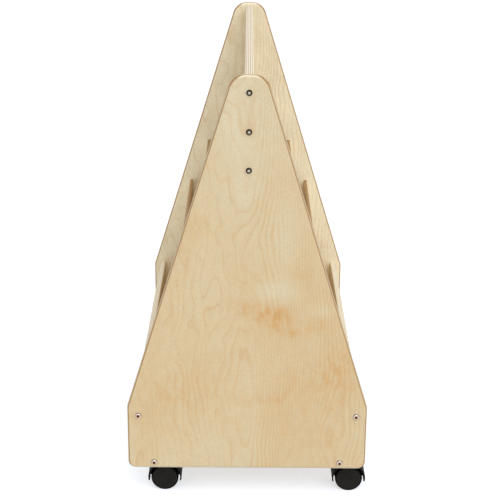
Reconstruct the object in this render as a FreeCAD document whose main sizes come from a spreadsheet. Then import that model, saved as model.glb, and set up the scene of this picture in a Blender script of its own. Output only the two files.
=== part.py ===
import FreeCAD, Part
import os
import Sketcher
from FreeCAD import Placement, Rotation, Vector

# Mobile book browser: a two-sided plywood stand with stepped bins.
# Two A-shaped end panels carry a centre board, low front boards and divider
# boards between them. The base board rolls on four twin-wheel casters.
# X runs across the end panels, Y along the bins, Z up. The origin is on the
# floor under the middle of the stand. All sizes are in millimetres.

SIZES = [
    # End panels
    ("overall_length", 762, "outer face to outer face of the end panels"),
    ("panel_width", 430, "width of an end panel at its foot"),
    ("panel_height", 725.2, "foot to crown"),
    ("panel_side_height", 122.2, "height of the upright sides below the slopes"),
    ("panel_top_width", 57.2, "width between the slopes at crown height"),
    ("panel_thickness", 12, "plywood of the end panels"),
    ("crown_radius", 32, "rounding of the two crown corners"),
    ("shoulder_radius", 20, "easing where the sides turn into the slopes"),
    ("foot_radius", 14.5, "rounding of the foot corners"),
    ("edge_round", 5, "round-over along both rims of an end panel"),
    # Boards
    ("board_thickness", 12, "plywood of the base board and the front boards"),
    ("centre_thickness", 15, "plywood of the centre board"),
    ("divider_thickness", 6.5, "plywood of the dividers and the bin floors"),
    ("board_ease", 3, "rounding along the top of the thick boards"),
    ("divider_ease", 2, "rounding along the top of the dividers"),
    ("centre_board_drop", 6.5, "crown of the panel down to the centre board's top"),
    ("base_lift", 6.2, "foot of the panel up to the base board's underside"),
    ("groove_depth", 5, "depth of the divider grooves in the end panels"),
    ("groove_slack", 0.1, "gap on each side of a board in its groove"),
    ("base_groove_depth", 4, "depth of the grooves in the base board"),
    ("rebate_depth", 6, "depth of the rebates that the front boards stand in"),
    # Bins
    ("front_board_inset", 13.75, "side of the panel in to the front board's face"),
    ("front_board_top", 129.2, "foot of the panel up to the front board's top"),
    ("low_divider_top", 325.7, "foot of the panel up to the low divider's top"),
    ("divider_rise", 93, "step up from one divider's top to the next"),
    ("front_bin_width", 57.5, "front board in to the low divider"),
    ("high_bin_width", 38.15, "high divider in to the centre board"),
    ("bin_depth", 100, "divider's top down to the floor of the bin behind it"),
    # Panel bolts and their barrel nuts
    ("bolt_diameter", 6, "shank of a panel bolt"),
    ("bolt_length", 50, "panel bolt under its head"),
    ("bolt_head_diameter", 10.5, "button head"),
    ("bolt_head_height", 3.3, "button head"),
    ("bolt_head_round", 2.7, "dome of the button head"),
    ("hex_key", 4, "hexagon socket across its flats"),
    ("hex_depth", 2, "depth of the hexagon socket"),
    ("bolt_tip", 0.8, "chamfer at the bolt's tip"),
    ("top_bolt_drop", 29.9, "crown of the panel down to the top bolt"),
    ("bolt_pitch", 66.5, "one panel bolt down to the next"),
    ("nut_diameter", 10, "barrel nut"),
    ("nut_length", 12, "barrel nut"),
    ("nut_setback", 30, "end of the centre board in to the barrel nut"),
    ("nut_slot_width", 1.4, "screwdriver slot in the barrel nut"),
    ("nut_slot_depth", 1.2, "screwdriver slot in the barrel nut"),
    ("shank_slack", 0.1, "gap round a bolt, screw or barrel nut in its hole"),
    # Round-head screws through the end panels
    ("screw_diameter", 4.5, "shank of an end screw"),
    ("screw_length", 40, "end screw under its head"),
    ("screw_head_diameter", 10.5, "round head"),
    ("screw_head_height", 3, "round head"),
    ("screw_head_round", 2.5, "dome of the round head"),
    ("screw_point", 6, "pointed tip of an end screw"),
    ("cross_length", 5, "cross recess, tip to tip"),
    ("cross_width", 1.2, "arm of the cross recess"),
    ("cross_depth", 1.7, "depth of the cross recess"),
    ("pilot_spare", 1, "pilot hole past the tip of its screw"),
    ("front_screw_height", 105.2, "foot of the panel up to the front board screws"),
    ("base_screw_inset", 33.25, "side of the base board in to its end screws"),
    # Pan-head screws under the base board
    ("foot_screw_length", 32, "screw up through the base into a front board"),
    ("foot_screw_pitch", 200, "one foot screw along to the next"),
    ("plate_screw_length", 10.5, "screw up through a caster plate"),
    ("pan_screw_diameter", 4, "shank of both pan-head screws"),
    ("pan_head_diameter", 7.5, "pan head"),
    ("pan_head_height", 2.2, "pan head"),
    ("pan_head_round", 1.5, "dome of the pan head"),
    ("pan_screw_point", 4, "pointed tip of a pan-head screw"),
    # Casters
    ("caster_height", 62.5, "floor up to the mounting plate's top"),
    ("caster_inset", 32.25, "side of the base board in to the swivel axis"),
    ("caster_setback", 35, "inner face of the end panel in to the swivel axis"),
    ("caster_trail", 18.5, "swivel axis back to the axle"),
    ("wheel_diameter", 50, "tread"),
    ("wheel_width", 17.5, "one wheel"),
    ("wheel_gap", 15, "inner face of one wheel to the other's"),
    ("wheel_round", 2.5, "rounding of the tread's rims"),
    ("wheel_rim_wall", 3.5, "rim round the wheel's hollow side"),
    ("wheel_hollow", 12, "depth of the hollow side"),
    ("wheel_hub_diameter", 13, "hub inside the hollow side"),
    ("wheel_bore_depth", 14.5, "blind bore for the axle"),
    ("axle_diameter", 6, "steel axle"),
    ("axle_end_gap", 0.6, "axle's end to the bottom of the wheel's bore"),
    ("axle_chamfer", 0.6, "axle's ends"),
    ("running_slack", 0.05, "gap round the axle and round the swivel stem"),
    ("hood_gap", 3, "tread out to the hood's cover"),
    ("hood_wall", 2.6, "wall of the hood's cover"),
    ("hood_skirt", 5.7, "axle down to the lower edge of the hood's cover and web"),
    ("hood_rim_round", 1, "rounding of the cover's outer rims"),
    ("web_thickness", 5, "web between the wheels"),
    ("web_bite", 1.3, "web's reach into the cover"),
    ("side_gap", 0.5, "wheel's inner face to the hood's bosses"),
    ("axle_boss_diameter", 13, "boss that holds the axle"),
    ("neck_diameter", 19, "neck above the cover, round the stem"),
    ("neck_flare", 8, "height over which the stem's boss widens to the neck"),
    ("neck_gap", 0.8, "stem's collar down to the hood's neck"),
    ("socket_floor", 3.5, "floor of the stem's socket"),
    ("socket_spare", 0.5, "stem's tip to the floor of its socket"),
    ("plate_size", 42, "square mounting plate"),
    ("plate_thickness", 2, "mounting plate"),
    ("plate_corner", 5, "corner radius of the plate"),
    ("plate_hole_pitch", 32, "screw holes in the plate"),
    ("stem_diameter", 8, "swivel stem"),
    ("stem_length", 22, "stem below its collar"),
    ("stem_chamfer", 1, "stem's tip"),
    ("collar_diameter", 13, "collar under the plate"),
    ("collar_height", 1.5, "collar under the plate"),
    ("rivet_flare", 1, "riveted end of the stem in the plate"),
    ("ring_height", 7, "stem's tip up to the retaining ring"),
    ("ring_thickness", 1, "retaining ring"),
    ("ring_diameter", 9.4, "retaining ring, outside"),
    ("ring_seat_diameter", 6.8, "groove in the stem for the ring"),
    ("ring_mouth", 3.5, "opening of the retaining ring"),
    ("ring_slack", 0.2, "gap round the retaining ring"),
]

# Edges nearer than this to a height or a plane count as lying on it
TOLERANCE = 0.01

# Places of repeated holes, as shares of the pitch between them
PAIR_SHARES = (-0.5, 0.5)
FOOT_SCREW_SHARES = (-1.5, -0.5, 0.5, 1.5)

# A pointed tip narrows by at most this share of the shank's radius
TIP_SHARE = 0.85

doc = FreeCAD.newDocument("MobileBookBrowser")
sheet = doc.addObject("Spreadsheet::Sheet", "sizes")


def fill_sheet():
    for row, (alias, size, note) in enumerate(SIZES, start=1):
        sheet.set(f"A{row}", str(size))
        sheet.setAlias(f"A{row}", alias)
        sheet.set(f"B{row}", note)
    doc.recompute()


def cells(expression):
    """Put the sheet's name before each alias in an expression."""
    words = []
    word = ""
    for letter in expression + " ":
        if letter.isalnum() or letter in "_.":
            word += letter
            continue
        words.append(f"sizes.{word}" if word in ALIASES else word)
        words.append(letter)
        word = ""
    return "".join(words).strip()


ALIASES = {alias for alias, size, note in SIZES}


def value(expression):
    return float(sheet.evalExpression(cells(expression)))


def bind(thing, prop, expression):
    thing.setExpression(prop, cells(expression))


# Sizes that follow from the ones in the sheet
CLEAR_LENGTH = "(overall_length - 2 * panel_thickness)"
PANEL_FOOT = "(caster_height - base_lift)"
BASE_TOP = "(base_lift + board_thickness)"
WHEEL_RADIUS = "(wheel_diameter / 2)"
BASE_HALF_WIDTH = "(panel_width / 2 - front_board_inset)"
FRONT_BOARD_OFFSET = f"({BASE_HALF_WIDTH} - board_thickness / 2)"
BASE_SCREW_OFFSET = f"({BASE_HALF_WIDTH} - base_screw_inset)"
CASTER_OFFSET = f"({BASE_HALF_WIDTH} - caster_inset)"
LOW_DIVIDER_OFFSET = f"({BASE_HALF_WIDTH} - board_thickness - front_bin_width - divider_thickness / 2)"
HIGH_DIVIDER_OFFSET = "(centre_thickness / 2 + high_bin_width + divider_thickness / 2)"
GROOVE_WIDTH = "(divider_thickness + 2 * groove_slack)"
HOOD_RADIUS = "(wheel_diameter / 2 + hood_gap + hood_wall)"
HOOD_WIDTH = "(wheel_gap + 2 * wheel_width)"
BOSS_WIDTH = "(wheel_gap - 2 * side_gap)"
COLLAR_FOOT = "(caster_height - plate_thickness - collar_height)"
STEM_FOOT = f"({COLLAR_FOOT} - stem_length)"
NECK_TOP = f"({COLLAR_FOOT} - neck_gap)"
RING_ROOM_LOW = f"({STEM_FOOT} + ring_height - ring_slack)"
RING_ROOM_HIGH = f"({STEM_FOOT} + ring_height + ring_thickness + ring_slack)"
CASTER_DISTANCE = f"({CLEAR_LENGTH} / 2 - caster_setback)"
DIVIDER_LENGTH = f"({CLEAR_LENGTH} + 2 * groove_depth)"

# The stepped dividers and the bins behind them, from the outside in
LEVELS = ("low", "middle", "high")
TOP_STEP = LEVELS.index("high")
SIDES = {"left": -1, "right": 1}
ENDS = {"front": -1, "rear": 1}
BOLT_ROWS = range(3)


def divider_offset(step):
    """The dividers step inwards evenly from the low one to the high one."""
    share = step / TOP_STEP
    return f"({LOW_DIVIDER_OFFSET} + {share} * ({HIGH_DIVIDER_OFFSET} - {LOW_DIVIDER_OFFSET}))"


def divider_top(step):
    return f"(low_divider_top + {step} * divider_rise)"


def floor_top(step):
    return f"({divider_top(step)} - bin_depth)"


def divider_foot(step):
    """The low divider stands in the base; the others reach under the bin before them."""
    if step == 0:
        return f"({BASE_TOP} - base_groove_depth)"
    return f"({floor_top(step - 1)} - divider_thickness)"


CENTRE_FOOT = f"({floor_top(TOP_STEP)} - divider_thickness)"
CENTRE_TOP = "(panel_height - centre_board_drop)"


def new_body(name):
    return doc.addObject("PartDesign::Body", name)


def place(body, x="0", y="0", z="0", turn=0, axis=Vector(0, 0, 1)):
    """Turn a piece about one axis through its own origin and move it to its place."""
    body.Placement = Placement(Vector(0, 0, 0), Rotation(axis, turn))
    bind(body, "Placement.Base.x", x)
    bind(body, "Placement.Base.y", y)
    bind(body, "Placement.Base.z", z)


def new_sketch(body, plane, offset="0"):
    sketch = body.newObject("Sketcher::SketchObject", body.Name + "_sketch")
    base = next(item for item in body.Origin.OriginFeatures if item.Role == plane)
    sketch.AttachmentSupport = [(base, "")]
    sketch.MapMode = "FlatFace"
    bind(sketch, "AttachmentOffset.Base.z", offset)
    return sketch


def fix_point(sketch, geometry, point, x, y):
    for kind, distance in (("DistanceX", x), ("DistanceY", y)):
        rule = Sketcher.Constraint(kind, -1, 1, geometry, point, value(distance))
        number = sketch.addConstraint(rule)
        bind(sketch, f"Constraints[{number}]", distance)


def add_outline(sketch, corners):
    """A closed outline of straight lines through corners given as expressions."""
    points = [Vector(value(x), value(y), 0) for x, y in corners]
    first = sketch.GeometryCount
    for start, end in zip(points, points[1:] + points[:1]):
        sketch.addGeometry(Part.LineSegment(start, end), False)
    for index, (x, y) in enumerate(corners):
        following = first + (index + 1) % len(corners)
        sketch.addConstraint(Sketcher.Constraint("Coincident", first + index, 2, following, 1))
        fix_point(sketch, first + index, 1, x, y)


def add_box(sketch, left, low, right, high):
    add_outline(sketch, [(left, low), (right, low), (right, high), (left, high)])


def add_circle(sketch, x, y, radius):
    centre = Vector(value(x), value(y), 0)
    number = sketch.addGeometry(Part.Circle(centre, Vector(0, 0, 1), value(radius)), False)
    fix_point(sketch, number, 3, x, y)
    rule = sketch.addConstraint(Sketcher.Constraint("Radius", number, value(radius)))
    bind(sketch, f"Constraints[{rule}]", radius)


def pad(body, sketch, length, both_ways=False, reverse=False):
    feature = body.newObject("PartDesign::Pad", body.Name + "_pad")
    feature.Profile = sketch
    feature.Midplane = both_ways
    feature.Reversed = reverse
    bind(feature, "Length", length)
    doc.recompute()
    return feature


def cut(body, sketch, length, both_ways=False, reverse=False):
    """A pocket, which has to take something away."""
    volume = body.Shape.Volume
    feature = body.newObject("PartDesign::Pocket", body.Name + "_pocket")
    feature.Profile = sketch
    feature.Midplane = both_ways
    feature.Reversed = reverse
    bind(feature, "Length", length)
    doc.recompute()
    if not feature.Shape.Volume < volume:
        raise ValueError(f"{feature.Name} cuts nothing")
    return feature


def turn(body, sketch, kind="Revolution"):
    """Revolve a sketch about its own upright axis, to add or, as a Groove, to cut."""
    volume = 0 if kind == "Revolution" else body.Shape.Volume
    feature = body.newObject(f"PartDesign::{kind}", body.Name + "_turned")
    feature.Profile = sketch
    feature.ReferenceAxis = (sketch, ["V_Axis"])
    feature.Angle = 360
    doc.recompute()
    changed = feature.Shape.Volume > volume if kind == "Revolution" else feature.Shape.Volume < volume
    if not changed:
        raise ValueError(f"{feature.Name} changes nothing")
    return feature


def edge_names(shape, test):
    return [f"Edge{number}" for number, edge in enumerate(shape.Edges, start=1) if test(edge)]


def dress(body, base, kind, test, size):
    """Fillet or chamfer the edges of a feature that pass a test."""
    feature = body.newObject(f"PartDesign::{kind}", body.Name + "_" + kind.lower())
    feature.Base = (base, edge_names(base.Shape, test))
    bind(feature, "Radius" if kind == "Fillet" else "Size", size)
    doc.recompute()
    return feature


def along_y(edge):
    box = edge.BoundBox
    return box.XLength < TOLERANCE and box.ZLength < TOLERANCE


def across_y(edge):
    return edge.BoundBox.YLength < TOLERANCE


def upright(edge):
    return edge.BoundBox.ZLength > TOLERANCE


def at_height(height):
    """A test for edges that lie level at a height."""
    level = value(height)

    def test(edge):
        box = edge.BoundBox
        return abs(box.ZMin - level) < TOLERANCE and abs(box.ZMax - level) < TOLERANCE

    return test


def along_y_at(height):
    """A test for edges along Y at a height."""
    level = at_height(height)

    def test(edge):
        return along_y(edge) and level(edge)

    return test


def round_top(body, base, height, radius):
    """Ease the two long edges along the top of a board."""
    return dress(body, base, "Fillet", along_y_at(height), radius)


def bolt_height(row):
    """Height of a panel bolt above the foot of the panel, counted from the top one."""
    return f"(panel_height - top_bolt_drop - {row} * bolt_pitch)"


def end_panel(end):
    body = new_body(f"end_panel_{end}")
    outline = new_sketch(body, "XZ_Plane")
    half = "panel_width / 2"
    half_top = "panel_top_width / 2"
    add_outline(outline, [
        (f"-{half}", "0"), (half, "0"), (half, "panel_side_height"),
        (half_top, "panel_height"), (f"-{half_top}", "panel_height"),
        (f"-{half}", "panel_side_height")])
    feature = pad(body, outline, "panel_thickness")
    for height, radius in (("panel_height", "crown_radius"),
                           ("panel_side_height", "shoulder_radius"),
                           ("0", "foot_radius")):
        feature = dress(body, feature, "Fillet", along_y_at(height), radius)
    dress(body, feature, "Fillet", across_y, "edge_round")
    divider_grooves(body)
    panel_holes(body)
    direction = ENDS[end]
    place(body, y=f"{direction} * {CLEAR_LENGTH} / 2", z=PANEL_FOOT, turn=90 + 90 * direction)
    return body


def divider_grooves(body):
    """Stopped grooves in the inner face, one for each divider's end."""
    grooves = new_sketch(body, "XZ_Plane")
    for side in SIDES.values():
        for step in range(len(LEVELS)):
            middle = f"{side} * {divider_offset(step)}"
            add_box(grooves, f"{middle} - {GROOVE_WIDTH} / 2", f"{divider_foot(step)} - groove_slack",
                    f"{middle} + {GROOVE_WIDTH} / 2", f"{divider_top(step)} + groove_slack")
    cut(body, grooves, "groove_depth", reverse=True)


def panel_holes(body):
    """Through holes for the panel bolts, the front board screws and the base end screws."""
    holes = new_sketch(body, "XZ_Plane")
    for row in BOLT_ROWS:
        add_circle(holes, "0", bolt_height(row), "bolt_diameter / 2 + shank_slack")
    for side in SIDES.values():
        radius = "screw_diameter / 2 + shank_slack"
        add_circle(holes, f"{side} * {FRONT_BOARD_OFFSET}", "front_screw_height", radius)
        add_circle(holes, f"{side} * {BASE_SCREW_OFFSET}", "base_lift + board_thickness / 2", radius)
    cut(body, holes, "panel_thickness", reverse=True)


def end_holes(body, circles, depth):
    """Holes bored along Y into both ends of a board that reaches from panel to panel."""
    for direction in ENDS.values():
        sketch = new_sketch(body, "XZ_Plane", f"{-direction} * {CLEAR_LENGTH} / 2")
        for x, z, radius in circles:
            add_circle(sketch, x, z, radius)
        cut(body, sketch, depth, reverse=direction > 0)


def board(name, thickness, height, length):
    """An upright board with its lower edge on its own origin, and its body and pad."""
    body = new_body(name)
    section = new_sketch(body, "XZ_Plane")
    add_box(section, f"-{thickness} / 2", "0", f"{thickness} / 2", height)
    return body, pad(body, section, length, both_ways=True)


def centre_board():
    height = f"({CENTRE_TOP} - {CENTRE_FOOT})"
    body, slab = board("centre_board", "centre_thickness", height, CLEAR_LENGTH)
    round_top(body, slab, height, "board_ease")
    rows = [f"{bolt_height(row)} - {CENTRE_FOOT}" for row in BOLT_ROWS]
    reach = "bolt_length - panel_thickness + pilot_spare"
    end_holes(body, [("0", row, "bolt_diameter / 2 + shank_slack") for row in rows], reach)
    cross = new_sketch(body, "YZ_Plane", "centre_thickness / 2")
    for direction in ENDS.values():
        for row in rows:
            add_circle(cross, f"{direction} * ({CLEAR_LENGTH} / 2 - nut_setback)", row,
                       "nut_diameter / 2 + shank_slack")
    cut(body, cross, "(centre_thickness + nut_length) / 2")
    place(body, z=f"{PANEL_FOOT} + {CENTRE_FOOT}")
    return body


def front_board(side):
    foot = f"({BASE_TOP} - rebate_depth)"
    height = f"(front_board_top - {foot})"
    body, slab = board(f"front_board_{side}", "board_thickness", height, CLEAR_LENGTH)
    round_top(body, slab, height, "board_ease")
    radius = "screw_diameter / 2 + shank_slack"
    end_holes(body, [("0", f"front_screw_height - {foot}", radius)],
              "screw_length - panel_thickness + pilot_spare")
    pilots = new_sketch(body, "XY_Plane")
    for y in foot_screw_rows():
        add_circle(pilots, "0", y, "pan_screw_diameter / 2 + shank_slack")
    cut(body, pilots, "foot_screw_length - board_thickness + rebate_depth + pilot_spare", reverse=True)
    place(body, x=f"{SIDES[side]} * {FRONT_BOARD_OFFSET}", z=f"{PANEL_FOOT} + {foot}")
    return body


def foot_screw_rows():
    """Places along Y of the screws that hold a front board's foot."""
    return [f"{share} * foot_screw_pitch" for share in FOOT_SCREW_SHARES]


def divider(level, side):
    step = LEVELS.index(level)
    height = f"({divider_top(step)} - {divider_foot(step)})"
    body, slab = board(f"divider_{level}_{side}", "divider_thickness", height, DIVIDER_LENGTH)
    round_top(body, slab, height, "divider_ease")
    place(body, x=f"{SIDES[side]} * {divider_offset(step)}", z=f"{PANEL_FOOT} + {divider_foot(step)}")
    return body


def bin_floor(level, side):
    """A strip glued between the divider before the bin and the board behind it."""
    step = LEVELS.index(level)
    outer = f"({divider_offset(step)} - divider_thickness / 2)"
    inner = f"({divider_offset(step + 1)} + divider_thickness / 2)"
    if level == "high":
        inner = "(centre_thickness / 2)"
    width = f"({outer} - {inner})"
    body, slab = board(f"bin_floor_{level}_{side}", width, "divider_thickness", CLEAR_LENGTH)
    place(body, x=f"{SIDES[side]} * ({outer} + {inner}) / 2",
          z=f"{PANEL_FOOT} + {floor_top(step)} - divider_thickness")
    return body


def base_board():
    """The base, with rebates for the front boards and grooves for the low dividers."""
    body = new_body("base_board")
    section = new_sketch(body, "XZ_Plane")
    rebate = f"({FRONT_BOARD_OFFSET} - board_thickness / 2)"
    groove_out = f"({LOW_DIVIDER_OFFSET} + {GROOVE_WIDTH} / 2)"
    groove_in = f"({LOW_DIVIDER_OFFSET} - {GROOVE_WIDTH} / 2)"
    top = "board_thickness"
    ledge = "board_thickness - rebate_depth"
    groove = "board_thickness - base_groove_depth"
    right = [(BASE_HALF_WIDTH, "0"), (BASE_HALF_WIDTH, ledge), (rebate, ledge), (rebate, top),
             (groove_out, top), (groove_out, groove), (groove_in, groove), (groove_in, top)]
    left = [(f"-{x}", z) for x, z in reversed(right)]
    add_outline(section, right + left)
    pad(body, section, CLEAR_LENGTH, both_ways=True)
    radius = "screw_diameter / 2 + shank_slack"
    end_holes(body, [(f"{side} * {BASE_SCREW_OFFSET}", "board_thickness / 2", radius)
                     for side in SIDES.values()],
              "screw_length - panel_thickness + pilot_spare")
    through = new_sketch(body, "XY_Plane")
    for side in SIDES.values():
        for y in foot_screw_rows():
            add_circle(through, f"{side} * {FRONT_BOARD_OFFSET}", y, "pan_screw_diameter / 2 + shank_slack")
    cut(body, through, "board_thickness", reverse=True)
    pilots = new_sketch(body, "XY_Plane")
    for x, y in plate_screw_places():
        add_circle(pilots, x, y, "pan_screw_diameter / 2 + shank_slack")
    cut(body, pilots, "plate_screw_length - plate_thickness + pilot_spare", reverse=True)
    place(body, z="caster_height")
    return body


def plate_screw_places():
    """The four screws round each caster's swivel axis."""
    places = []
    for side in SIDES.values():
        for end in ENDS.values():
            for across in PAIR_SHARES:
                for along in PAIR_SHARES:
                    places.append((f"{side} * {CASTER_OFFSET} + {across} * plate_hole_pitch",
                                   f"{end} * {CASTER_DISTANCE} + {along} * plate_hole_pitch"))
    return places


def domed_head(body, diameter, height, dome):
    """A round head that sits on the XY plane with its edge domed."""
    outline = new_sketch(body, "XY_Plane")
    add_circle(outline, "0", "0", f"{diameter} / 2")
    head = pad(body, outline, height)
    return dress(body, head, "Fillet", at_height(height), dome)


def shank(body, diameter, length, tip):
    """A plain shank below the head with a pointed or chamfered tip."""
    section = new_sketch(body, "XZ_Plane")
    radius = f"{diameter} / 2"
    add_outline(section, [("0", "0"), ("0", f"-{length}"),
                          (f"{radius} - min({tip}; {radius} * {TIP_SHARE})", f"-{length}"),
                          (radius, f"-{length} + {tip}"), (radius, "0")])
    turn(body, section)


def panel_bolt():
    body = new_body("panel_bolt")
    domed_head(body, "bolt_head_diameter", "bolt_head_height", "bolt_head_round")
    shank(body, "bolt_diameter", "bolt_length", "bolt_tip")
    socket = new_sketch(body, "XY_Plane", "bolt_head_height")
    corner = "(hex_key / 2 / cos(30))"
    half = "(hex_key / 2)"
    add_outline(socket, [(corner, "0"), (f"{corner} / 2", half), (f"-{corner} / 2", half),
                         (f"-{corner}", "0"), (f"-{corner} / 2", f"-{half}"), (f"{corner} / 2", f"-{half}")])
    cut(body, socket, "hex_depth")
    return body


def barrel_nut():
    """A cross dowel along X with a cross hole for the bolt and a screwdriver slot."""
    body = new_body("barrel_nut")
    outline = new_sketch(body, "YZ_Plane")
    add_circle(outline, "0", "0", "nut_diameter / 2")
    pad(body, outline, "nut_length", both_ways=True)
    thread = new_sketch(body, "XZ_Plane")
    add_circle(thread, "0", "0", "bolt_diameter / 2 + running_slack")
    cut(body, thread, "nut_diameter", both_ways=True)
    slot = new_sketch(body, "YZ_Plane", "nut_length / 2")
    add_box(slot, "-nut_diameter", "-nut_slot_width / 2", "nut_diameter", "nut_slot_width / 2")
    cut(body, slot, "nut_slot_depth")
    return body


def cross_recess(body, head_height):
    recess = new_sketch(body, "XY_Plane", head_height)
    arm = "cross_length / 2"
    half = "cross_width / 2"
    quarter = [(arm, half), (half, half), (half, arm)]
    corners = []
    for x_sign, y_sign in (("", ""), ("-", ""), ("-", "-"), ("", "-")):
        points = quarter if x_sign == y_sign else quarter[::-1]
        corners += [(x_sign + x, y_sign + y) for x, y in points]
    add_outline(recess, corners)
    cut(body, recess, "cross_depth")


def end_screw():
    body = new_body("end_screw")
    domed_head(body, "screw_head_diameter", "screw_head_height", "screw_head_round")
    shank(body, "screw_diameter", "screw_length", "screw_point")
    cross_recess(body, "screw_head_height")
    return body


def pan_screw(name, length):
    body = new_body(name)
    domed_head(body, "pan_head_diameter", "pan_head_height", "pan_head_round")
    shank(body, "pan_screw_diameter", length, "pan_screw_point")
    cross_recess(body, "pan_head_height")
    return body


def group(name, pattern, places, turns, axis=Vector(1, 0, 0)):
    """One node of separate solids: a copy of the pattern piece at each place."""
    copies = []
    for number, ((x, y, z), angle) in enumerate(zip(places, turns), start=1):
        copy = doc.addObject("App::Link", f"{name}_{number}")
        copy.LinkedObject = pattern
        place(copy, x, y, z, turn=angle, axis=axis)
        copies.append(copy)
    node = doc.addObject("Part::Compound", name)
    node.Links = copies
    doc.recompute()
    return node


def fasteners():
    """Heads of the end fasteners face out of the panels; the others face down."""
    outside = "overall_length / 2"
    bolts = []
    nuts = []
    front_screws = []
    base_screws = []
    for end in ENDS.values():
        for row in BOLT_ROWS:
            height = f"{PANEL_FOOT} + {bolt_height(row)}"
            bolts.append(("0", f"{end} * {outside}", height))
            nuts.append(("0", f"{end} * ({CLEAR_LENGTH} / 2 - nut_setback)", height))
        for side in SIDES.values():
            front_screws.append((f"{side} * {FRONT_BOARD_OFFSET}", f"{end} * {outside}",
                                 f"{PANEL_FOOT} + front_screw_height"))
            base_screws.append((f"{side} * {BASE_SCREW_OFFSET}", f"{end} * {outside}",
                                "caster_height + board_thickness / 2"))
    outward = [-90 * end for end in ENDS.values()]
    foot_places = [(f"{side} * {FRONT_BOARD_OFFSET}", y, "caster_height")
                   for side in SIDES.values() for y in foot_screw_rows()]
    plate_places = [(x, y, "caster_height - plate_thickness") for x, y in plate_screw_places()]
    end_pattern = end_screw()
    return [
        group("panel_bolts", panel_bolt(), bolts, [turn for turn in outward for row in BOLT_ROWS]),
        group("barrel_nuts", barrel_nut(), nuts, [0 for nut in nuts]),
        group("front_board_screws", end_pattern, front_screws, [turn for turn in outward for side in SIDES]),
        group("base_end_screws", end_pattern, base_screws, [turn for turn in outward for side in SIDES]),
        group("front_board_foot_screws", pan_screw("foot_screw", "foot_screw_length"), foot_places,
              [180 for screw in foot_places]),
        group("caster_plate_screws", pan_screw("plate_screw", "plate_screw_length"), plate_places,
              [180 for screw in plate_places])]


def mounting_plate(name):
    body = new_body(name)
    outline = new_sketch(body, "XY_Plane", "caster_height")
    half = "plate_size / 2"
    add_box(outline, f"-{half}", f"-{half}", half, half)
    slab = pad(body, outline, "plate_thickness", reverse=True)
    dress(body, slab, "Fillet", upright, "plate_corner")
    holes = new_sketch(body, "XY_Plane", "caster_height")
    for across in PAIR_SHARES:
        for along in PAIR_SHARES:
            add_circle(holes, f"{across} * plate_hole_pitch", f"{along} * plate_hole_pitch",
                       "pan_screw_diameter / 2 + shank_slack")
    cut(body, holes, "plate_thickness")
    seat = new_sketch(body, "XZ_Plane")
    radius = "(stem_diameter / 2 + running_slack)"
    foot = "caster_height - plate_thickness"
    add_outline(seat, [("0", foot), (radius, foot), (radius, "caster_height - rivet_flare"),
                       (f"{radius} + rivet_flare", "caster_height"), ("0", "caster_height")])
    turn(body, seat, "Groove")
    return body


def swivel_stem(name):
    """A stem riveted in the plate, with a collar under it and a groove for the ring."""
    body = new_body(name)
    section = new_sketch(body, "XZ_Plane")
    radius = "(stem_diameter / 2)"
    collar = "(collar_diameter / 2)"
    seat = "(ring_seat_diameter / 2)"
    add_outline(section, [
        ("0", STEM_FOOT), (f"{radius} - stem_chamfer", STEM_FOOT), (radius, f"{STEM_FOOT} + stem_chamfer"),
        (radius, RING_ROOM_LOW), (seat, RING_ROOM_LOW), (seat, RING_ROOM_HIGH), (radius, RING_ROOM_HIGH),
        (radius, COLLAR_FOOT), (collar, COLLAR_FOOT), (collar, f"{COLLAR_FOOT} + collar_height"),
        (radius, f"{COLLAR_FOOT} + collar_height"), (radius, "caster_height - rivet_flare"),
        (f"{radius} + rivet_flare", "caster_height"), ("0", "caster_height")])
    turn(body, section)
    return body


def stem_ring(name):
    """The open spring ring that keeps the hood on its stem."""
    body = new_body(name)
    outline = new_sketch(body, "XY_Plane", f"{STEM_FOOT} + ring_height")
    add_circle(outline, "0", "0", "ring_diameter / 2")
    add_circle(outline, "0", "0", "ring_seat_diameter / 2 + ring_slack")
    pad(body, outline, "ring_thickness")
    mouth = new_sketch(body, "XY_Plane", f"{STEM_FOOT} + ring_height")
    add_box(mouth, "0", "-ring_mouth / 2", "ring_diameter", "ring_mouth / 2")
    cut(body, mouth, "ring_thickness", reverse=True)
    return body


def below_the_hood(sketch):
    """The outline of all that is cut away below the hood's lower edge."""
    reach = f"({HOOD_RADIUS} + hood_wall)"
    add_box(sketch, f"caster_trail - {reach}", f"{WHEEL_RADIUS} - {reach}",
            f"caster_trail + {reach}", f"{WHEEL_RADIUS} - hood_skirt")


def hood_web(body):
    """The web that stands between the wheels and reaches as low as the cover."""
    web = new_sketch(body, "XZ_Plane")
    add_circle(web, "caster_trail", WHEEL_RADIUS, f"{HOOD_RADIUS} - hood_wall + web_bite")
    pad(body, web, "web_thickness", both_ways=True)
    below = new_sketch(body, "XZ_Plane")
    below_the_hood(below)
    cut(body, below, "2 * web_thickness", both_ways=True)


def hood_cover(body):
    """The arched cover over both wheels, open below its skirt."""
    cover = new_sketch(body, "XZ_Plane")
    add_circle(cover, "caster_trail", WHEEL_RADIUS, HOOD_RADIUS)
    add_circle(cover, "caster_trail", WHEEL_RADIUS, f"{HOOD_RADIUS} - hood_wall")
    pad(body, cover, HOOD_WIDTH, both_ways=True)
    below = new_sketch(body, "XZ_Plane")
    below_the_hood(below)
    arch = cut(body, below, f"2 * {HOOD_WIDTH}", both_ways=True)
    arch_width = value(f"2 * {HOOD_RADIUS}")
    top = value(f"{WHEEL_RADIUS} + {HOOD_RADIUS} - hood_wall / 2")

    def outer_rim(edge):
        return across_y(edge) and edge.Length > arch_width and edge.BoundBox.ZMax > top

    dress(body, arch, "Fillet", outer_rim, "hood_rim_round")


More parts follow.
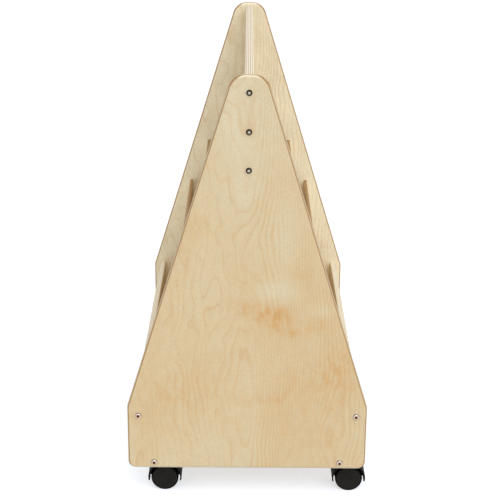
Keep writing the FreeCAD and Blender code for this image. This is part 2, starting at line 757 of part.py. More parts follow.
def hood_bosses(body):
    """The boss that holds the axle, and the one that widens to the neck round the stem."""
    axle_boss = new_sketch(body, "XZ_Plane")
    add_circle(axle_boss, "caster_trail", WHEEL_RADIUS, "axle_boss_diameter / 2")
    pad(body, axle_boss, BOSS_WIDTH, both_ways=True)
    neck = "(neck_diameter / 2)"
    neck_foot = f"({WHEEL_RADIUS} + {HOOD_RADIUS} - hood_wall)"
    boss = f"({BOSS_WIDTH} / 2)"
    boss_foot = f"({STEM_FOOT} - socket_spare - socket_floor)"
    stem_boss = new_sketch(body, "XZ_Plane")
    add_outline(stem_boss, [
        ("0", boss_foot), (boss, boss_foot), (boss, f"{neck_foot} - neck_flare"),
        (neck, neck_foot), (neck, NECK_TOP), ("0", NECK_TOP)])
    turn(body, stem_boss)


def hood_bores(body):
    """The stem's socket, with room for the ring, and the axle's bore."""
    bore = "(stem_diameter / 2 + running_slack)"
    ring_room = "(ring_diameter / 2 + ring_slack)"
    floor = f"({STEM_FOOT} - socket_spare)"
    socket = new_sketch(body, "XZ_Plane")
    add_outline(socket, [
        ("0", floor), (bore, floor), (bore, RING_ROOM_LOW), (ring_room, RING_ROOM_LOW),
        (ring_room, RING_ROOM_HIGH), (bore, RING_ROOM_HIGH), (bore, NECK_TOP), ("0", NECK_TOP)])
    turn(body, socket, "Groove")
    axle_bore = new_sketch(body, "XZ_Plane")
    add_circle(axle_bore, "caster_trail", WHEEL_RADIUS, "axle_diameter / 2 + running_slack")
    cut(body, axle_bore, BOSS_WIDTH, both_ways=True)


def hood(name):
    """The caster's body, which turns about the stem and carries the axle."""
    body = new_body(name)
    hood_web(body)
    hood_cover(body)
    hood_bosses(body)
    hood_bores(body)
    return body


def wheel(name):
    """A nylon wheel, hollow on its inner side, with its inner face on the XZ plane."""
    body = new_body(name)
    section = new_sketch(body, "XY_Plane")
    bore = "(axle_diameter / 2 + running_slack)"
    hub = "(wheel_hub_diameter / 2)"
    rim = f"({WHEEL_RADIUS} - wheel_rim_wall)"
    add_outline(section, [
        (bore, "0"), (hub, "0"), (hub, "-wheel_hollow"), (rim, "-wheel_hollow"), (rim, "0"),
        (WHEEL_RADIUS, "0"), (WHEEL_RADIUS, "-wheel_width"), ("0", "-wheel_width"),
        ("0", "-wheel_bore_depth"), (bore, "-wheel_bore_depth")])
    solid = turn(body, section)
    tread = value("wheel_diameter") - TOLERANCE

    def tread_rim(edge):
        return across_y(edge) and edge.BoundBox.ZLength > tread

    dress(body, solid, "Fillet", tread_rim, "wheel_round")
    return body


def axle(name):
    body = new_body(name)
    outline = new_sketch(body, "XZ_Plane")
    add_circle(outline, "0", "0", "axle_diameter / 2")
    rod = pad(body, outline, "wheel_gap + 2 * (wheel_bore_depth - axle_end_gap)", both_ways=True)
    dress(body, rod, "Chamfer", across_y, "axle_chamfer")
    return body


def caster(end, side):
    """All the pieces of one caster. The front ones trail to the right, the rear ones left."""
    name = f"caster_{end}_{side}"
    across = f"{SIDES[side]} * {CASTER_OFFSET}"
    along = f"{ENDS[end]} * {CASTER_DISTANCE}"
    trail = -ENDS[end]
    facing = 0 if trail > 0 else 180
    pieces = [mounting_plate(f"{name}_plate"), swivel_stem(f"{name}_stem"), stem_ring(f"{name}_stem_ring"),
              hood(f"{name}_hood")]
    for piece in pieces:
        place(piece, across, along, turn=facing)
    rod = axle(f"{name}_axle")
    hub_x = f"{across} + {trail} * caster_trail"
    place(rod, hub_x, along, WHEEL_RADIUS)
    pieces.append(rod)
    for position, direction in (("outer", ENDS[end]), ("inner", -ENDS[end])):
        roller = wheel(f"{name}_wheel_{position}")
        place(roller, hub_x, f"{along} + {direction} * wheel_gap / 2", WHEEL_RADIUS,
              turn=90 + 90 * direction)
        pieces.append(roller)
    return pieces


def build():
    fill_sheet()
    nodes = [end_panel(end) for end in ENDS]
    nodes += [base_board(), centre_board()]
    nodes += [front_board(side) for side in SIDES]
    nodes += [divider(level, side) for level in LEVELS for side in SIDES]
    nodes += [bin_floor(level, side) for level in LEVELS for side in SIDES]
    nodes += fasteners()
    for end in ENDS:
        for side in SIDES:
            nodes += caster(end, side)
    doc.recompute()
    return nodes


def check(nodes):
    for item in doc.Objects:
        if "Invalid" in item.State or "Error" in item.State:
            raise ValueError(f"{item.Label} did not build: {item.State}")
    for node in nodes:
        if node.Shape.isNull() or not node.Shape.isValid():
            raise ValueError(f"{node.Label} has no valid shape")


def write(nodes):
    os.makedirs("parts", exist_ok=True)
    for node in nodes:
        node.Shape.exportStep(os.path.join("parts", node.Label + ".step"))
        print(node.Label, len(node.Shape.Solids), "solids,", round(node.Shape.Volume), "mm3")


nodes = build()
check(nodes)
write(nodes)
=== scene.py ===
import math

import bpy
from mathutils import Matrix, Vector


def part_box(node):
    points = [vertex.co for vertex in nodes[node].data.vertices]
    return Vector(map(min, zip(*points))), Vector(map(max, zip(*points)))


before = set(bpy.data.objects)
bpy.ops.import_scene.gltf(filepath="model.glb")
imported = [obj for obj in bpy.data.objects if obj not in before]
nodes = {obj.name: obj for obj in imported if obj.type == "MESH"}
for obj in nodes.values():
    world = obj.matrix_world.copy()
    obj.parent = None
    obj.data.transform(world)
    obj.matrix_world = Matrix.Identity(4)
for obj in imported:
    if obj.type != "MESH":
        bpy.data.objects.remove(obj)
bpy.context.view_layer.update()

# Looks of the mobile book browser: lacquered birch plywood boards, steel bolts and screws, and
# black nylon casters. Every piece keeps its own mesh and gets a material. Lengths are in metres,
# and MM turns millimetres into them. X runs across the end panels, Y along the bins, Z up.

MM = 0.001

# Patterns of the veneer: cycles a metre across the grain, along it and through the board, then
# how many finer layers lie over the first one and how strong these are. Real fibres and pores
# are under a tenth of a millimetre wide. They are drawn many times as coarse, so that they show.
PATTERNS = {
    "waves": ((6.0, 2.2, 9.0), 1.5, 0.45),         # the growth lines' wander, 170 by 450 mm
    "curls": ((26.0, 12.0, 12.0), 1.5, 0.4),       # their curls, 40 by 80 mm
    "ripple": ((90.0, 22.0, 22.0), 2.0, 0.5),      # their unsteady sides, 11 by 45 mm
    "patches": ((16.0, 9.0, 9.0), 2.0, 0.5),       # where they stand out, 60 by 110 mm
    "clouds": ((10.0, 6.0, 6.0), 4.0, 0.6),        # pale and amber wood, 100 by 170 mm
    "mottle": ((80.0, 45.0, 45.0), 5.0, 0.7),      # its unevenness, 12 by 22 mm
    "fibre": ((520.0, 30.0, 520.0), 3.0, 0.6),     # streaks of 2 by 33 mm
    "pores": ((1000.0, 200.0, 1000.0), 1.0, 0.5),  # short dashes of 1 by 5 mm
    "specks": ((700.0, 700.0, 700.0), 2.0, 0.5),   # pores seen end on, 1.4 mm
}
FLECK_CELLS = (60.0, 13.0, 13.0)  # cells of 17 by 77 mm, a few of which hold a brown fleck
SEED_STEP = (1.7, 2.3, 0.9)       # from one board's part of the patterns to the next, in metres
FACE_VENEER = 0.42                # millimetres of veneer left on each face after sanding

# The growth lines, counted in rings, one line to a ring
FIRST_RING = 40.0         # keeps the count above zero
WAVE_PUSH = 6.0           # how far the waves, ripples and curls push the lines
RIPPLE_PUSH = 0.6
CURL_PUSH = 3.0
LINE_PLACE = 0.6          # where a line lies in its ring
LINE_WIDTH = 0.2          # from its middle to its edge
# A fold's curls and line widths change from its left side to its right one
FOLD_CURL_PUSH = (3.8, 2.6)
FOLD_LINE_WIDTH = (0.13, 0.34)

VENEER_TONES = [(0.0, "#F8EFD2"), (0.3, "#E1D5B6"), (0.55, "#DCC9A2"), (0.78, "#D9BD90"),
                (1.0, "#D4A96F")]
END_GRAIN_TONES = [(0.3, "#865A0A"), (0.7, "#AE7C1C")]
LONG_GRAIN_TONES = [(0.3, "#EFE5CA"), (0.7, "#F5EEDA")]
LINE_COLOUR = "#CA8E36"
PORE_COLOUR = "#BC8C54"
FLECK_COLOUR = "#9A6238"
GLUE_COLOUR = "#8A5C2A"
# Warmth is the place of a spot of veneer in the tones above. Clouds give it, and the fibre and
# the mottle add to it.
CLOUD_WARMTH = (0.18, 0.4)
FIBRE_WARMTH = 0.3
MOTTLE_WARMTH = 0.4
EVEN_STAIN = 60           # a stain with this half width in millimetres or more isn't mottled
STAIN_MOTTLE = (0.5, 1.4)
# How strongly the marks are drawn over it
LINE_STRENGTH = 0.28
PORE_STRENGTH = 0.5
FIBRE_SHADES = (0.945, 1.055)
FLECK_STRENGTH = 0.5
FLECK_SHARE = 0.04        # of the cells
GLUE_STRENGTH = 0.5
GLUE_SHARE = 0.07         # of a ply, on each side of a joint
LACQUER_ROUGHNESS = (0.42, 0.5)
DRY_EDGE = 0.1            # how much rougher the cut edges are

NOISE_LOW = 0.3           # most of a noise's values lie between these two
NOISE_HIGH = 0.7

# Places on the stand that the heads' and the wheels' finishes are centred on, in millimetres
TOP_BOLT_HEIGHT = 751.6
BOLT_PITCH = 66.5
FRONT_BOARD_OFFSET = 195.25
FRONT_SCREW_HEIGHT = 161.5
BASE_SCREW_OFFSET = 168
BASE_SCREW_HEIGHT = 68.5
ALONE = 1000              # the pitch of a head that has none above or below it
HEAD_REACH = 6            # the radius that the rings on a head are given as shares of
CASTER_OFFSET = 169
CASTER_TRAIL = 18.5
WHEEL_RADIUS = 25
WHEEL_ROUNDING = (3.2, 2.4)  # how far in from the tread a wheel's flat face fades into its rim

# Cycles a metre of the marks on steel and nylon. The rolling marks and the moulding textures are
# finer on the real pieces, and are drawn coarser so that they show from close by.
ROLLING_MARKS = (2400.0, 2400.0, 480.0)  # 0.4 by 2 mm
STEEL_CLOUDS = 240.0                     # cloudy sheen of the plating, 4 mm
HOOD_TEXTURE = 2600.0                    # 0.4 mm
WHEEL_TEXTURE = 1800.0                   # 0.55 mm
NYLON_SCUFFS = 90.0                      # faint scuffs, 11 mm

# The camera's place, its turn in radians, and its lens and film width in millimetres
CAMERA_PLACE = (-0.00185, -2.5633, 1.2442)
CAMERA_ASIDE = -0.0022
CAMERA_DOWN = 0.3379
CAMERA_ROLL = 0.0074
CAMERA_LENS = 97.2036
CAMERA_FILM = 36.0

# The room: its even light, the wide lamp's strength, width in degrees and place, and the floor,
# which throws back a pale grey and takes the shadow on a bluish one
WHITE = "#FFFFFF"
ROOM_LIGHT = 0.8
LAMP_LIGHT = 1.28
LAMP_WIDTH = 50
LAMP_FROM = (0.30, -0.62, 0.72)
FLOOR_SIZE = 30
FLOOR_GLOW = 0.6
FLOOR_BOUNCE = "#CBCBCB"
FLOOR_SHADOW = "#C8CEDA"


def colour(code):
    """The linear colour of an sRGB hex value."""
    channels = [int(code[start:start + 2], 16) / 255 for start in (1, 3, 5)]
    linear = [c / 12.92 if c <= 0.04045 else ((c + 0.055) / 1.055) ** 2.4 for c in channels]
    return (*linear, 1.0)


def add(tree, kind, inputs=None, stops=(), **settings):
    """Add a node, set it up, fill or link its inputs, and give its first output in use. An input
    goes by its name or its number: 1 and 2 of a Map Range are where it starts and ends, and 3
    and 4 what it gives there."""
    node = tree.nodes.new("ShaderNode" + kind)
    for name, setting in settings.items():
        setattr(node, name, setting)
    for _ in stops[2:]:
        node.color_ramp.elements.new(1.0)
    for number, (place, shade) in enumerate(stops):
        element = node.color_ramp.elements[number]
        element.position = place
        element.color = colour(shade)
    for name, source in (inputs or {}).items():
        named = [socket for socket in node.inputs if socket.name == name and socket.enabled]
        socket = node.inputs[name] if isinstance(name, int) else named[0]
        if isinstance(source, bpy.types.NodeSocket):
            tree.links.new(source, socket)
        else:
            socket.default_value = source
    return next((output for output in node.outputs if output.enabled), None)


def new_material(name):
    """An empty material and its node tree."""
    material = bpy.data.materials.new(name)
    material.use_nodes = True
    material.node_tree.nodes.clear()
    return material, material.node_tree


def finish_material(tree, inputs):
    """The surface itself, with its colour, gloss and relief."""
    surface = add(tree, "BsdfPrincipled", inputs)
    add(tree, "OutputMaterial", {"Surface": surface})


def swell(tree, place, across, along, half_width, half_length):
    """A soft round or long swelling, 1 in its middle, at a place on a board in millimetres."""
    near = add(tree, "VectorMath", {0: place, 1: (across * MM, along * MM, 0)},
               operation="SUBTRACT")
    shares = (1 / (half_width * MM), 1 / (half_length * MM), 0)
    share = add(tree, "VectorMath", {0: near, 1: shares}, operation="MULTIPLY")
    product = add(tree, "VectorMath", {0: share, 1: share}, operation="DOT_PRODUCT").node
    falling = add(tree, "Math", {0: product.outputs["Value"], 1: -1.0}, operation="MULTIPLY")
    return add(tree, "Math", {0: falling}, operation="EXPONENT")


def growth_lines(tree, place, patterns, across, rings, fold, figure):
    """The veneer's growth lines: lines of equal height on a slope across the board that is
    bent by waves, curls and the figure's swells. A fold makes it a lopsided valley, open on
    its left side, and gives its place in millimetres, its steepness and its softness."""
    growth = add(tree, "Math", {0: across, 1: rings, 2: FIRST_RING}, operation="MULTIPLY_ADD")
    growth = add(tree, "Math", {0: patterns["waves"], 1: WAVE_PUSH, 2: growth},
                 operation="MULTIPLY_ADD")
    growth = add(tree, "Math", {0: patterns["ripple"], 1: RIPPLE_PUSH, 2: growth},
                 operation="MULTIPLY_ADD")
    push = CURL_PUSH
    width = LINE_WIDTH
    if fold:
        middle, steepness, softness = fold
        aside = add(tree, "Math", {0: across, 1: middle * MM}, operation="SUBTRACT")
        square = add(tree, "Math", {0: aside, 1: aside, 2: (softness * MM) ** 2},
                     operation="MULTIPLY_ADD")
        rise = add(tree, "Math", {0: square}, operation="SQRT")
        growth = add(tree, "Math", {0: rise, 1: steepness, 2: growth}, operation="MULTIPLY_ADD")
        left, right = FOLD_CURL_PUSH
        push = add(tree, "MapRange", {"Value": aside, 1: -60 * MM, 2: 40 * MM, 3: left, 4: right},
                   interpolation_type="SMOOTHSTEP")
        left, right = FOLD_LINE_WIDTH
        width = add(tree, "MapRange", {"Value": aside, 1: -50 * MM, 2: 40 * MM, 3: left, 4: right},
                    interpolation_type="SMOOTHSTEP")
    growth = add(tree, "Math", {0: patterns["curls"], 1: push, 2: growth},
                 operation="MULTIPLY_ADD")
    for *spot, strength in figure:
        bend = swell(tree, place, *spot)
        growth = add(tree, "Math", {0: bend, 1: strength, 2: growth}, operation="MULTIPLY_ADD")

    # Each ring darkens slowly before its line, and not after it
    ring = add(tree, "Math", {0: growth}, operation="FRACT")
    aside = add(tree, "Math", {0: ring, 1: LINE_PLACE}, operation="SUBTRACT")
    away = add(tree, "Math", {0: aside}, operation="ABSOLUTE")
    line = add(tree, "MapRange", {"Value": away, 1: 0.0, 2: width, 3: 1.0, 4: 0.0},
               interpolation_type="SMOOTHSTEP")
    slow = add(tree, "MapRange", {"Value": ring, 1: 0.05, 2: LINE_PLACE, 3: 0.0, 4: 0.35})
    before = add(tree, "Math", {0: aside, 1: 0.0}, operation="LESS_THAN")
    slow = add(tree, "Math", {0: slow, 1: before}, operation="MULTIPLY")
    line = add(tree, "Math", {0: line, 1: slow}, operation="MAXIMUM")
    strength = add(tree, "MapRange", {"Value": patterns["patches"], 1: 0.35, 2: 0.68, 3: 0.3,
                                      4: 1.0})
    return add(tree, "Math", {0: line, 1: strength}, operation="MULTIPLY")


def face_veneer(tree, place, seeded, patterns, line, tone, stains):
    """Colour of the rotary-cut face veneer: pale, wandering growth lines, a fine fibre with
    short pores, soft amber clouds and stains, and a few brown flecks. The tone warms it."""
    fibre = patterns["fibre"]
    mottle = patterns["mottle"]
    least, most = CLOUD_WARMTH
    warmth = add(tree, "MapRange", {"Value": patterns["clouds"], 1: NOISE_LOW, 2: NOISE_HIGH,
                                    3: least, 4: most})
    warmth = add(tree, "Math", {0: warmth, 1: tone}, operation="ADD")
    warmth = add(tree, "Math", {0: fibre, 1: FIBRE_WARMTH, 2: warmth}, operation="MULTIPLY_ADD")
    warmth = add(tree, "Math", {0: mottle, 1: MOTTLE_WARMTH, 2: warmth}, operation="MULTIPLY_ADD")
    least, most = STAIN_MOTTLE
    patchy = add(tree, "MapRange", {"Value": mottle, 1: 0.35, 2: 0.65, 3: least, 4: most})
    for across, along, half_width, half_length, strength in stains:
        stain = swell(tree, place, across, along, half_width, half_length)
        if half_width < EVEN_STAIN:
            stain = add(tree, "Math", {0: stain, 1: patchy}, operation="MULTIPLY")
        warmth = add(tree, "Math", {0: stain, 1: strength, 2: warmth}, operation="MULTIPLY_ADD")
    face = add(tree, "ValToRGB", {"Fac": warmth}, stops=VENEER_TONES)

    drawn = add(tree, "Math", {0: line, 1: LINE_STRENGTH}, operation="MULTIPLY")
    face = add(tree, "Mix", {"Factor": drawn, "A": face, "B": colour(LINE_COLOUR)},
               data_type="RGBA")
    pitted = add(tree, "MapRange", {"Value": patterns["pores"], 1: 0.58, 2: 0.78, 3: 0.0,
                                    4: PORE_STRENGTH})
    face = add(tree, "Mix", {"Factor": pitted, "A": face, "B": colour(PORE_COLOUR)},
               data_type="RGBA")
    dark, light = FIBRE_SHADES
    shade = add(tree, "MapRange", {"Value": fibre, 1: NOISE_LOW, 2: NOISE_HIGH, 3: dark, 4: light})
    face = add(tree, "VectorMath", {0: face, "Scale": shade}, operation="SCALE")

    # Flecks: short streaks along the grain
    spread = add(tree, "VectorMath", {0: seeded, 1: FLECK_CELLS}, operation="MULTIPLY")
    cells = add(tree, "TexVoronoi", {"Vector": spread, "Scale": 1.0}).node.outputs
    chosen = add(tree, "SeparateColor", {"Color": cells["Color"]})
    rare = add(tree, "Math", {0: chosen, 1: FLECK_SHARE}, operation="LESS_THAN")
    streak = add(tree, "MapRange", {"Value": cells["Distance"], 1: 0.02, 2: 0.07,
                                    3: FLECK_STRENGTH, 4: 0.0})
    fleck = add(tree, "Math", {0: rare, 1: streak}, operation="MULTIPLY")
    return add(tree, "Mix", {"Factor": fleck, "A": face, "B": colour(FLECK_COLOUR)},
               data_type="RGBA")


def cut_edge(tree, depth, ply, facing, patterns, browns):
    """Colour of the plies on a cut edge or a round-over: brown where the grain ends at the
    edge, cream where it runs along it, with a dark line of glue between them. Facing tells how
    far the surface faces across and along the board, and the browns darken the outermost and
    the inner brown plies."""
    veneer = FACE_VENEER * MM
    count = add(tree, "MapRange", {"Value": depth, 1: veneer, 2: veneer + ply, 3: 0.0, 4: 1.0},
                clamp=False)
    layer = add(tree, "Math", {0: count}, operation="FLOOR")
    lengthwise = add(tree, "Math", {0: layer, 1: 2.0}, operation="FLOORED_MODULO")
    end_across, end_along = [add(tree, "Math", {0: side}, operation="ABSOLUTE")
                             for side in facing]
    ends = add(tree, "Mix", {"Factor": lengthwise, "A": end_across, "B": end_along},
               data_type="FLOAT")
    brown = add(tree, "MapRange", {"Value": ends, 1: 0.15, 2: 0.4, 3: 0.0, 4: 1.0})
    outer, inner = browns
    kept = add(tree, "MapRange", {"Value": layer, 1: 0.0, 2: 2.0, 3: outer, 4: inner})
    brown = add(tree, "Math", {0: brown, 1: kept}, operation="MULTIPLY")
    end_grain = add(tree, "ValToRGB", {"Fac": patterns["specks"]}, stops=END_GRAIN_TONES)
    long_grain = add(tree, "ValToRGB", {"Fac": patterns["fibre"]}, stops=LONG_GRAIN_TONES)
    edge = add(tree, "Mix", {"Factor": brown, "A": long_grain, "B": end_grain}, data_type="RGBA")
    seam = add(tree, "Math", {0: count, 1: 1.0}, operation="PINGPONG")
    joint = add(tree, "Math", {0: seam, 1: GLUE_SHARE}, operation="LESS_THAN")
    glued = add(tree, "Math", {0: joint, 1: GLUE_STRENGTH}, operation="MULTIPLY")
    return add(tree, "Mix", {"Factor": glued, "A": edge, "B": colour(GLUE_COLOUR)},
               data_type="RGBA")


def birch_plywood(board, across, along, through, seed, rings=45, fold=None, figure=(),
                  tones=(0.0, 0.0), stains=(), ply_thickness=1.5, browns=(0.85, 1.0)):
    """Clear satin lacquer on birch plywood, with its face veneer and its cut plies. Across,
    along and through are the board's own directions, by the grain. The tones warm the veneer
    of its two faces. An odd number of plies, near the ply thickness in millimetres, fills it."""
    low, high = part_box(board)
    half = (high - low)["XYZ".index(through)] / 2
    core = half - FACE_VENEER * MM
    ply = core / (round(core / (ply_thickness * MM) - 0.5) + 0.5)

    material, tree = new_material("birch_plywood_" + board)
    coordinates = add(tree, "TexCoord").node.outputs
    centred = add(tree, "Mapping", {"Vector": coordinates["Object"], "Location": -(low + high) / 2})
    axes = add(tree, "SeparateXYZ", {0: centred}).node.outputs
    normals = add(tree, "SeparateXYZ", {0: coordinates["Normal"]}).node.outputs
    place = add(tree, "CombineXYZ", {"X": axes[across], "Y": axes[along], "Z": axes[through]})
    seeded = add(tree, "VectorMath", {0: place, 1: [seed * step for step in SEED_STEP]},
                 operation="ADD")
    patterns = {}
    for name, (cycles, detail, roughness) in PATTERNS.items():
        scaled = add(tree, "VectorMath", {0: seeded, 1: cycles}, operation="MULTIPLY")
        patterns[name] = add(tree, "TexNoise", {"Vector": scaled, "Scale": 1.0, "Detail": detail,
                                                "Roughness": roughness})
    line = growth_lines(tree, place, patterns, axes[across], rings, fold, figure)
    tone = add(tree, "MapRange", {"Value": axes[through], 1: -MM, 2: MM, 3: tones[0], 4: tones[1]})
    face = face_veneer(tree, place, seeded, patterns, line, tone, stains)

    inward = add(tree, "Math", {0: axes[through]}, operation="ABSOLUTE")
    depth = add(tree, "Math", {0: half, 1: inward}, operation="SUBTRACT")
    edge = cut_edge(tree, depth, ply, (normals[across], normals[along]), patterns, browns)
    cut = add(tree, "Math", {0: depth, 1: FACE_VENEER * MM}, operation="GREATER_THAN")
    surface = add(tree, "Mix", {"Factor": cut, "A": face, "B": edge}, data_type="RGBA")

    # Lacquer: satin, a little drier on the cut edges, sunken along the growth lines
    fibre = patterns["fibre"]
    smooth, rough = LACQUER_ROUGHNESS
    gloss = add(tree, "MapRange", {"Value": fibre, 1: NOISE_LOW, 2: NOISE_HIGH, 3: smooth,
                                   4: rough})
    gloss = add(tree, "Math", {0: cut, 1: DRY_EDGE, 2: gloss}, operation="MULTIPLY_ADD")
    height = add(tree, "Math", {0: line, 1: -0.5, 2: fibre}, operation="MULTIPLY_ADD")
    relief = add(tree, "Bump", {"Height": height, "Strength": 0.12, "Distance": 0.2 * MM})
    finish_material(tree, {"Base Color": surface, "Roughness": gloss, "Normal": relief,
                           "Coat Weight": 0.08, "Coat Roughness": 0.3})
    nodes[board].material_slots[0].material = material


def steel(name, pieces, colours, roughness, head=None):
    """Plated steel with faint rolling marks and an uneven sheen. A head gives its distance from
    the middle, its height, the pitch to the next one and the colours from its middle outwards,
    which paint shade and reflections onto it."""
    material, tree = new_material(name)
    place = add(tree, "TexCoord").node.outputs["Object"]
    scaled = add(tree, "VectorMath", {0: place, 1: ROLLING_MARKS}, operation="MULTIPLY")
    marks = add(tree, "TexNoise", {"Vector": scaled, "Scale": 1.0, "Detail": 3.0})
    cloudy = add(tree, "TexNoise", {"Vector": place, "Scale": STEEL_CLOUDS, "Detail": 2.0})
    dull, bright = colours
    tint = add(tree, "ValToRGB", {"Fac": cloudy}, stops=[(NOISE_LOW, dull), (NOISE_HIGH, bright)])
    if head:
        offset, height, pitch, stops = head
        axes = add(tree, "SeparateXYZ", {0: place}).node.outputs
        side = add(tree, "Math", {0: axes["X"]}, operation="ABSOLUTE")
        side = add(tree, "Math", {0: side, 1: offset * MM}, operation="SUBTRACT")
        rise = add(tree, "Math", {0: axes["Z"], 1: height * MM}, operation="SUBTRACT")
        rise = add(tree, "Math", {0: rise, 1: pitch / 2 * MM, 2: -pitch / 2 * MM},
                   operation="WRAP")
        flat = add(tree, "CombineXYZ", {"X": side, "Y": rise})
        radius = add(tree, "VectorMath", {0: flat}, operation="LENGTH").node.outputs["Value"]
        share = add(tree, "Math", {0: radius, 1: HEAD_REACH * MM}, operation="DIVIDE")
        # The rings paint shade and reflections onto the head, centred on each head's middle
        rings = add(tree, "ValToRGB", {"Fac": share}, stops=stops)
        tint = add(tree, "Mix", {"Factor": 1.0, "A": tint, "B": rings}, data_type="RGBA",
                   blend_type="MULTIPLY")
    smooth, rough = roughness
    gloss = add(tree, "MapRange", {"Value": marks, 1: NOISE_LOW, 2: NOISE_HIGH, 3: smooth,
                                   4: rough})
    relief = add(tree, "Bump", {"Height": marks, "Strength": 0.08, "Distance": 0.05 * MM})
    finish_material(tree, {"Base Color": tint, "Metallic": 1.0, "Roughness": gloss,
                           "Normal": relief})
    for piece in pieces:
        nodes[piece].material_slots[0].material = material


def moulded_nylon(name, pieces, colours, roughness, texture, tread=False):
    """Black moulded nylon: a dull, even black with the fine texture of a spark-eroded mould.
    A wheel's tread and the rounding beside it are painted darker than its flat face, a painted
    shade that holds down the light the rounding catches, and are made duller."""
    material, tree = new_material(name)
    place = add(tree, "TexCoord").node.outputs["Object"]
    spark = add(tree, "TexNoise", {"Vector": place, "Scale": texture, "Detail": 3.0,
                                   "Roughness": 0.6})
    scuffs = add(tree, "TexNoise", {"Vector": place, "Scale": NYLON_SCUFFS, "Detail": 4.0})
    dark, pale = colours
    tint = add(tree, "ValToRGB", {"Fac": scuffs}, stops=[(0.35, dark), (0.75, pale)])
    smooth, rough = roughness
    gloss = add(tree, "MapRange", {"Value": scuffs, 1: NOISE_LOW, 2: NOISE_HIGH, 3: smooth,
                                   4: rough})
    if tread:
        axes = add(tree, "SeparateXYZ", {0: place}).node.outputs
        end = add(tree, "Math", {0: axes["Y"]}, operation="SIGN")
        trailed = add(tree, "Math", {0: end, 1: CASTER_TRAIL * MM, 2: axes["X"]},
                      operation="MULTIPLY_ADD")
        side = add(tree, "Math", {0: trailed}, operation="ABSOLUTE")
        across = add(tree, "Math", {0: side, 1: CASTER_OFFSET * MM}, operation="SUBTRACT")
        rise = add(tree, "Math", {0: axes["Z"], 1: WHEEL_RADIUS * MM}, operation="SUBTRACT")
        flat = add(tree, "CombineXYZ", {"X": across, "Y": rise})
        radius = add(tree, "VectorMath", {0: flat}, operation="LENGTH").node.outputs["Value"]
        starts, ends = [(WHEEL_RADIUS - inset) * MM for inset in WHEEL_ROUNDING]
        painted_dark_rim = add(tree, "MapRange", {"Value": radius, 1: starts, 2: ends, 3: 0.0, 4: 1.0})
        # Painted shade: the tread and its rounding are coloured near black against the light they
        # catch
        tint = add(tree, "Mix", {"Factor": painted_dark_rim, "A": tint, "B": colour("#020202")},
                   data_type="RGBA")
        gloss = add(tree, "Math", {0: painted_dark_rim, 1: 0.12, 2: gloss}, operation="MULTIPLY_ADD")
    relief = add(tree, "Bump", {"Height": spark, "Strength": 0.25, "Distance": 0.1 * MM})
    finish_material(tree, {"Base Color": tint, "Roughness": gloss, "Normal": relief,
                           "Specular IOR Level": 0.05})
    for piece in pieces:
        nodes[piece].material_slots[0].material = material


# Boards. The end panels' and the centre board's grain stands upright; on the others it runs
# along the bins.
# Swells of the front panel's figure, in millimetres from its middle: across, up, half width,
# half length, and how many rings they bend the growth lines by.
FRONT_FIGURE = [(-2, 60, 45, 150, 3.2), (-45, -60, 40, 110, 1.6), (60, -40, 50, 60, -1.5),
                (230, -250, 100, 250, -12.0), (138, -290, 30, 80, 4.0)]
# Amber stains and pale places of the end panels: across, up, half width, half length, and how
# much they warm the veneer
FRONT_STAINS = [(45, -64, 32, 20, 0.38), (-5, -44, 22, 14, 0.15), (80, -94, 22, 12, 0.22),
                (120, -82, 14, 10, 0.20), (93, 17, 16, 11, 0.14), (145, -180, 55, 45, 0.14),
                (30, -224, 40, 12, 0.14), (-95, 101, 30, 20, 0.14), (-130, -209, 59, 59, 0.10),
                (50, -17, 35, 18, -0.22), (130, -52, 25, 12, -0.20), (-5, 151, 12, 40, -0.12),
                (5, 300, 130, 130, -0.19), (-60, -335, 150, 50, -0.09),
                (66, 75, 36, 85, -0.11), (152, -285, 40, 55, 0.09)]
REAR_STAINS = [(0, 340, 90, 90, 0.16)]
birch_plywood("end_panel_front", "X", "Z", "Y", 1, rings=62, fold=(0, 146, 25),
              figure=FRONT_FIGURE, stains=FRONT_STAINS)
# The rear panel's inner face is made paler than its outer one: partly a paler veneer, partly
# painted light that lifts it out of the shade of the near panel and the boards
birch_plywood("end_panel_rear", "X", "Z", "Y", 2, rings=60, fold=(-30, 80, 40),
              tones=(-0.62, 0.0), stains=REAR_STAINS)
birch_plywood("base_board", "X", "Y", "Z", 3)
birch_plywood("centre_board", "Y", "Z", "X", 4, tones=(-0.1, -0.1), browns=(0.6, 0.6))
for side, front_seed in (("left", 5), ("right", 6)):
    birch_plywood("front_board_" + side, "Z", "Y", "X", front_seed, browns=(0.4, 0.25))
    for number, level in enumerate(("low", "middle", "high")):
        seed = 7 + 2 * number + (side == "right")
        # Thin plywood with one thick ply across its middle, brown on the top edge
        birch_plywood(f"divider_{level}_{side}", "Z", "Y", "X", seed, ply_thickness=6.0,
                      browns=(0.9, 0.9))
        birch_plywood(f"bin_floor_{level}_{side}", "X", "Y", "Z", seed + 6)

casters = [f"caster_{end}_{side}" for end in ("front", "rear") for side in ("left", "right")]
# Rings on a head: shares of HEAD_REACH, and colours that multiply the steel's own.
# A bolt's head carries a painted reflection: a dark rim stands in for dark surroundings mirrored by
# its domed edge, and inside it a bright beige socket stands in for reflected light.
BOLT_PAINTED_REFLECTION = [(0.0, "#F0E6D2"), (0.36, "#F0E6D2"), (0.44, "#4A4643"), (0.8, "#3A3634"),
              (0.9, "#8A8682")]
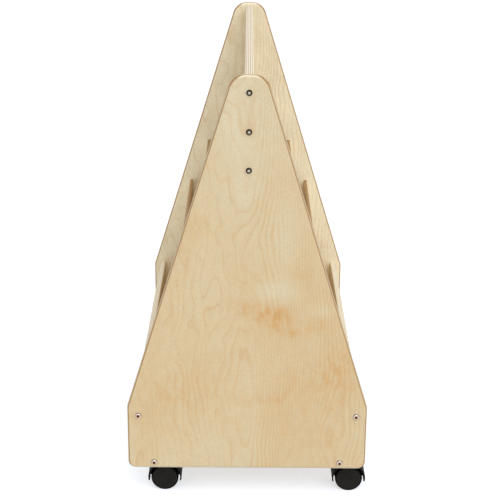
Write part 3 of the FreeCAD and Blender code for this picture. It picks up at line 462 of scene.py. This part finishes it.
# A screw's head is painted with shade and reflection: dark shade in the middle of its cross, a
# bronze reflection of the wood round it, a white ring of the bare steel, and a dark shadow round
# its rim.
SCREW_PAINTED_SHADE_AND_REFLECTION = [(0.0, "#1E1A18"), (0.18, "#1E1A18"), (0.26, "#94603A"), (0.54, "#C8946A"),
               (0.62, WHITE), (0.76, WHITE), (0.82, "#6E6058")]
NICKEL = ("#D2CEC8", "#EAE6E0")
steel("steel_bolts_painted_reflection", ["panel_bolts", "barrel_nuts"], ("#B4B0AC", "#D8D4D0"), (0.2, 0.34),
      head=(0, TOP_BOLT_HEIGHT, BOLT_PITCH, BOLT_PAINTED_REFLECTION))
steel("nickel_front_board_screws", ["front_board_screws"], NICKEL, (0.14, 0.26),
      head=(FRONT_BOARD_OFFSET, FRONT_SCREW_HEIGHT, ALONE, SCREW_PAINTED_SHADE_AND_REFLECTION))
steel("nickel_base_screws", ["base_end_screws"], NICKEL, (0.14, 0.26),
      head=(BASE_SCREW_OFFSET, BASE_SCREW_HEIGHT, ALONE, SCREW_PAINTED_SHADE_AND_REFLECTION))
steel("nickel_pan_screws", ["front_board_foot_screws", "caster_plate_screws"],
      ("#C9C4BC", "#DCD8D0"), (0.16, 0.3))
steel("zinc_plated_caster_steel", [f"{caster}_{piece}" for caster in casters
                                   for piece in ("plate", "stem", "stem_ring", "axle")],
      ("#AEB0B2", "#C6C8C9"), (0.28, 0.42))
moulded_nylon("black_nylon_hoods", [f"{caster}_hood" for caster in casters],
              ("#191715", "#211E1B"), (0.5, 0.64), HOOD_TEXTURE)
moulded_nylon("black_nylon_wheels", [f"{caster}_wheel_{place}" for caster in casters
                                     for place in ("outer", "inner")],
              ("#23211F", "#292623"), (0.44, 0.54), WHEEL_TEXTURE, tread=True)


def light_paths(tree):
    """1 for what the camera, a mirror or glass sees, 0 for light that falls on the object."""
    path = add(tree, "LightPath").node.outputs
    seen = add(tree, "Math", {0: path["Is Camera Ray"], 1: path["Is Glossy Ray"]},
               operation="MAXIMUM")
    return add(tree, "Math", {0: seen, 1: path["Is Transmission Ray"]}, operation="MAXIMUM")


def studio():
    """A white room: even light, one wide soft lamp, and a floor that keeps a faint shadow."""
    world = bpy.data.worlds.new("white_room")
    bpy.context.scene.world = world
    world.use_nodes = True
    tree = world.node_tree
    tree.nodes.clear()
    even = add(tree, "Background", {"Color": colour(WHITE), "Strength": ROOM_LIGHT})
    white = add(tree, "Background", {"Color": colour(WHITE), "Strength": 1.0})
    both = add(tree, "MixShader", {0: light_paths(tree), 1: even, 2: white})
    add(tree, "OutputWorld", {"Surface": both})

    lamp = bpy.data.lights.new("wide_lamp", "SUN")
    lamp.energy = LAMP_LIGHT
    lamp.angle = math.radians(LAMP_WIDTH)
    holder = bpy.data.objects.new("wide_lamp", lamp)
    bpy.context.collection.objects.link(holder)
    holder.rotation_euler = Vector(LAMP_FROM).to_track_quat("Z", "Y").to_euler()

    bpy.ops.object.select_all(action="DESELECT")
    bpy.ops.mesh.primitive_plane_add(size=FLOOR_SIZE)
    floor = bpy.context.object
    floor.name = "floor"
    material, tree = new_material("white_floor")
    bounce = add(tree, "BsdfDiffuse", {"Color": colour(FLOOR_BOUNCE)})
    glow = add(tree, "Emission", {"Color": colour(WHITE), "Strength": FLOOR_GLOW})
    shade = add(tree, "BsdfDiffuse", {"Color": colour(FLOOR_SHADOW)})
    seen = add(tree, "AddShader", {0: glow, 1: shade})
    both = add(tree, "MixShader", {0: light_paths(tree), 1: bounce, 2: seen})
    add(tree, "OutputMaterial", {"Surface": both})
    floor.data.materials.append(material)


def camera():
    """The place from which the photograph was taken, found from the panels' outlines."""
    data = bpy.data.cameras.new("camera")
    data.sensor_width = CAMERA_FILM
    data.lens = CAMERA_LENS
    data.clip_end = 60.0
    seen = bpy.data.objects.new("camera", data)
    bpy.context.collection.objects.link(seen)
    turn = (Matrix.Rotation(CAMERA_ASIDE, 4, "Z")
            @ Matrix.Rotation(math.pi / 2 - CAMERA_DOWN, 4, "X")
            @ Matrix.Rotation(CAMERA_ROLL, 4, "Z"))
    seen.matrix_world = Matrix.Translation(CAMERA_PLACE) @ turn
    bpy.context.scene.camera = seen


studio()
camera()
bpy.context.scene.view_settings.view_transform = "Standard"
